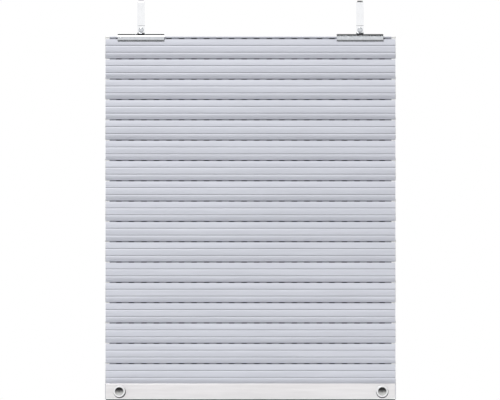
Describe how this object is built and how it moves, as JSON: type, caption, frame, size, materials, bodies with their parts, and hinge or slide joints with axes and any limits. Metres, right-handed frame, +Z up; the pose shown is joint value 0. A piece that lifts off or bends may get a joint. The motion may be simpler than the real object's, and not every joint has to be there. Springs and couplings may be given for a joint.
{
  "type": "roller shutter curtain",
  "caption": "Exterior roller shutter curtain of hooked foam-filled aluminium slats, with a bottom bar, round stoppers, rubber seal and spring-strip hangers for the tube.",
  "frame": {"origin": "midway between the two anchor holes in the hangers' top tongues", "axes": "+X along the slats to the right seen from outside, +Y inwards, towards the roll, +Z up; the outside face looks along -Y"},
  "size_m": [0.587, 0.0433, 0.8098],
  "materials": {
    "lacquered_aluminium": "light grey coil lacquer, satin",
    "foam": "foamed",
    "nylon": "moulded",
    "spring_steel": "bright rolled",
    "zinc_steel": "bright zinc plated",
    "mill_aluminium": "extruded, brushed",
    "stopper_plastic": "moulded, metallic grey",
    "cap_plastic": "moulded",
    "rubber": "extruded"
  },
  "bodies": {
    "strip_tops": {"left_upper_strip": "spring_steel", "right_upper_strip": "spring_steel"},
    "strips": {"left_lower_strip": "spring_steel", "right_lower_strip": "spring_steel", "strip_rivets": "zinc_steel"},
    "rails": {"left_hanger_rail": "zinc_steel", "right_hanger_rail": "zinc_steel"},
    "slat_01": {"slat_01": "lacquered_aluminium", "core_01": "foam", "end_locks_01": "nylon"},
    "slat_02": {"slat_02": "lacquered_aluminium", "core_02": "foam"},
    "slat_03": {"slat_03": "lacquered_aluminium", "core_03": "foam", "end_locks_03": "nylon"},
    "slat_04": {"slat_04": "lacquered_aluminium", "core_04": "foam"},
    "slat_05": {"slat_05": "lacquered_aluminium", "core_05": "foam", "end_locks_05": "nylon"},
    "slat_06": {"slat_06": "lacquered_aluminium", "core_06": "foam"},
    "slat_07": {"slat_07": "lacquered_aluminium", "core_07": "foam", "end_locks_07": "nylon"},
    "slat_08": {"slat_08": "lacquered_aluminium", "core_08": "foam"},
    "slat_09": {"slat_09": "lacquered_aluminium", "core_09": "foam", "end_locks_09": "nylon"},
    "slat_10": {"slat_10": "lacquered_aluminium", "core_10": "foam"},
    "slat_11": {"slat_11": "lacquered_aluminium", "core_11": "foam", "end_locks_11": "nylon"},
    "slat_12": {"slat_12": "lacquered_aluminium", "core_12": "foam"},
    "slat_13": {"slat_13": "lacquered_aluminium", "core_13": "foam", "end_locks_13": "nylon"},
    "slat_14": {"slat_14": "lacquered_aluminium", "core_14": "foam"},
    "slat_15": {"slat_15": "lacquered_aluminium", "core_15": "foam", "end_locks_15": "nylon"},
    "slat_16": {"slat_16": "lacquered_aluminium", "core_16": "foam"},
    "slat_17": {"slat_17": "lacquered_aluminium", "core_17": "foam", "end_locks_17": "nylon"},
    "bar": {"bottom_bar": "mill_aluminium", "bottom_seal": "rubber", "bar_end_caps": "cap_plastic", "left_stopper": "stopper_plastic", "right_stopper": "stopper_plastic", "stopper_screws": "zinc_steel", "stopper_nuts": "zinc_steel"}
  },
  "joints": [
    {"name": "strip_flex", "type": "hinge", "parent": "strip_tops", "child": "strips", "pos_m": [0, -0.008, -0.027], "axis": [1, 0, 0], "range_deg": [-4, 56]},
    {"name": "rail_swing", "type": "hinge", "parent": "strips", "child": "rails", "pos_m": [0, -0.00965, -0.0681], "axis": [1, 0, 0], "range_deg": [-4, 38.5]},
    {"name": "hook_01", "type": "hinge", "parent": "rails", "child": "slat_01", "pos_m": [0, -0.00965, -0.0736], "axis": [1, 0, 0], "range_deg": [-4, 33]},
    {"name": "hook_02", "type": "hinge", "parent": "slat_01", "child": "slat_02", "pos_m": [0, -0.00965, -0.1146], "axis": [1, 0, 0], "range_deg": [-4, 56]},
    {"name": "hook_03", "type": "hinge", "parent": "slat_02", "child": "slat_03", "pos_m": [0, -0.00965, -0.1556], "axis": [1, 0, 0], "range_deg": [-4, 53.5]},
    {"name": "hook_04", "type": "hinge", "parent": "slat_03", "child": "slat_04", "pos_m": [0, -0.00965, -0.1966], "axis": [1, 0, 0], "range_deg": [-4, 51]},
    {"name": "hook_05", "type": "hinge", "parent": "slat_04", "child": "slat_05", "pos_m": [0, -0.00965, -0.2376], "axis": [1, 0, 0], "range_deg": [-4, 49]},
    {"name": "hook_06", "type": "hinge", "parent": "slat_05", "child": "slat_06", "pos_m": [0, -0.00965, -0.2786], "axis": [1, 0, 0], "range_deg": [-4, 47.5]},
    {"name": "hook_07", "type": "hinge", "parent": "slat_06", "child": "slat_07", "pos_m": [0, -0.00965, -0.3196], "axis": [1, 0, 0], "range_deg": [-4, 46]},
    {"name": "hook_08", "type": "hinge", "parent": "slat_07", "child": "slat_08", "pos_m": [0, -0.00965, -0.3606], "axis": [1, 0, 0], "range_deg": [-4, 44.5]},
    {"name": "hook_09", "type": "hinge", "parent": "slat_08", "child": "slat_09", "pos_m": [0, -0.00965, -0.4016], "axis": [1, 0, 0], "range_deg": [-4, 43]},
    {"name": "hook_10", "type": "hinge", "parent": "slat_09", "child": "slat_10", "pos_m": [0, -0.00965, -0.4426], "axis": [1, 0, 0], "range_deg": [-4, 42]},
    {"name": "hook_11", "type": "hinge", "parent": "slat_10", "child": "slat_11", "pos_m": [0, -0.00965, -0.4836], "axis": [1, 0, 0], "range_deg": [-4, 40.5]},
    {"name": "hook_12", "type": "hinge", "parent": "slat_11", "child": "slat_12", "pos_m": [0, -0.00965, -0.5246], "axis": [1, 0, 0], "range_deg": [-4, 39.5]},
    {"name": "hook_13", "type": "hinge", "parent": "slat_12", "child": "slat_13", "pos_m": [0, -0.00965, -0.5656], "axis": [1, 0, 0], "range_deg": [-4, 39]},
    {"name": "hook_14", "type": "hinge", "parent": "slat_13", "child": "slat_14", "pos_m": [0, -0.00965, -0.6066], "axis": [1, 0, 0], "range_deg": [-4, 38]},
    {"name": "hook_15", "type": "hinge", "parent": "slat_14", "child": "slat_15", "pos_m": [0, -0.00965, -0.6476], "axis": [1, 0, 0], "range_deg": [-4, 37]},
    {"name": "hook_16", "type": "hinge", "parent": "slat_15", "child": "slat_16", "pos_m": [0, -0.00965, -0.6886], "axis": [1, 0, 0], "range_deg": [-4, 36.5]},
    {"name": "hook_17", "type": "hinge", "parent": "slat_16", "child": "slat_17", "pos_m": [0, -0.00965, -0.7296], "axis": [1, 0, 0], "range_deg": [-4, 35.5]},
    {"name": "hook_bar", "type": "hinge", "parent": "slat_17", "child": "bar", "pos_m": [0, -0.00965, -0.7706], "axis": [1, 0, 0], "range_deg": [-3, 32]}
  ]
}
